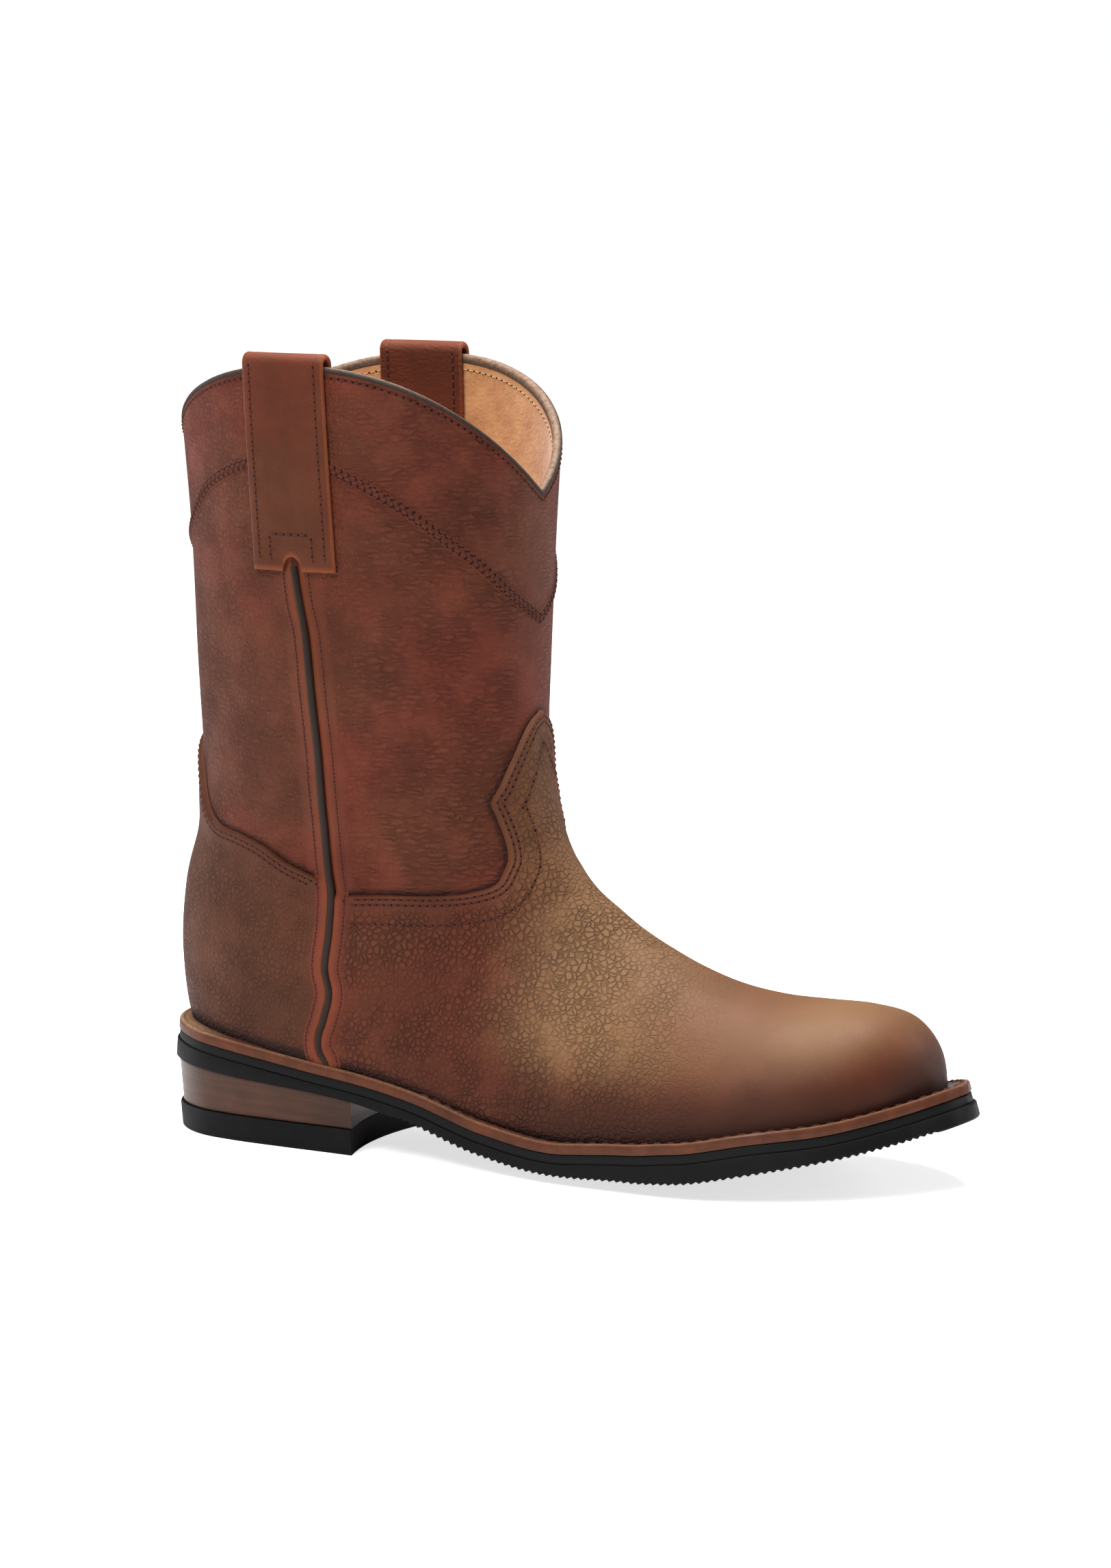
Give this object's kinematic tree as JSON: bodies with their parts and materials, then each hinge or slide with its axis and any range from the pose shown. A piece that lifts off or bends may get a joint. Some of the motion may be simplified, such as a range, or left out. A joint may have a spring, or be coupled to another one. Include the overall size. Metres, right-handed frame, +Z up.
{
  "type": "cowboy boot",
  "caption": "Pull-on leather cowboy boot with a scalloped collar, pull straps, overlaid vamp and heel counter, welted rubber sole and low stacked heel.",
  "frame": {"origin": "on the floor plane, under the middle of the boot's bounding box", "axes": "+X from heel to toe, +Y to the medial (inner) side, +Z up"},
  "size_m": [0.3, 0.1098, 0.2781],
  "materials": {
    "outsole": "matte black rubber with a fine saw-tooth edge",
    "midsole": "matte black edge",
    "welt": "brown veg-tanned strip, burnished edge",
    "heel_block": "stacked leather, waxed and burnished",
    "heel_lift": "matte black rubber",
    "insole": "natural leather board",
    "upper": "oiled pebbled leather, soft sheen, tan suede lining",
    "vamp": "oiled pebbled leather with an olive cast on the toe",
    "counter": "oiled pebbled leather",
    "piping": "dark brown leather cord",
    "pull_strap": "folded oiled leather, stitched along both edges",
    "collar_binding": "dark grey-brown rolled edge"
  },
  "bodies": {
    "root": {"outsole": "outsole", "midsole": "midsole", "welt": "welt", "heel_block": "heel_block", "heel_lift": "heel_lift", "insole": "insole", "upper_front": "upper", "upper_back": "upper", "vamp": "vamp", "counter": "counter", "piping_outer": "piping", "piping_inner": "piping", "pull_strap_outer": "pull_strap", "pull_strap_inner": "pull_strap", "collar_binding": "collar_binding"}
  },
  "joints": []
}
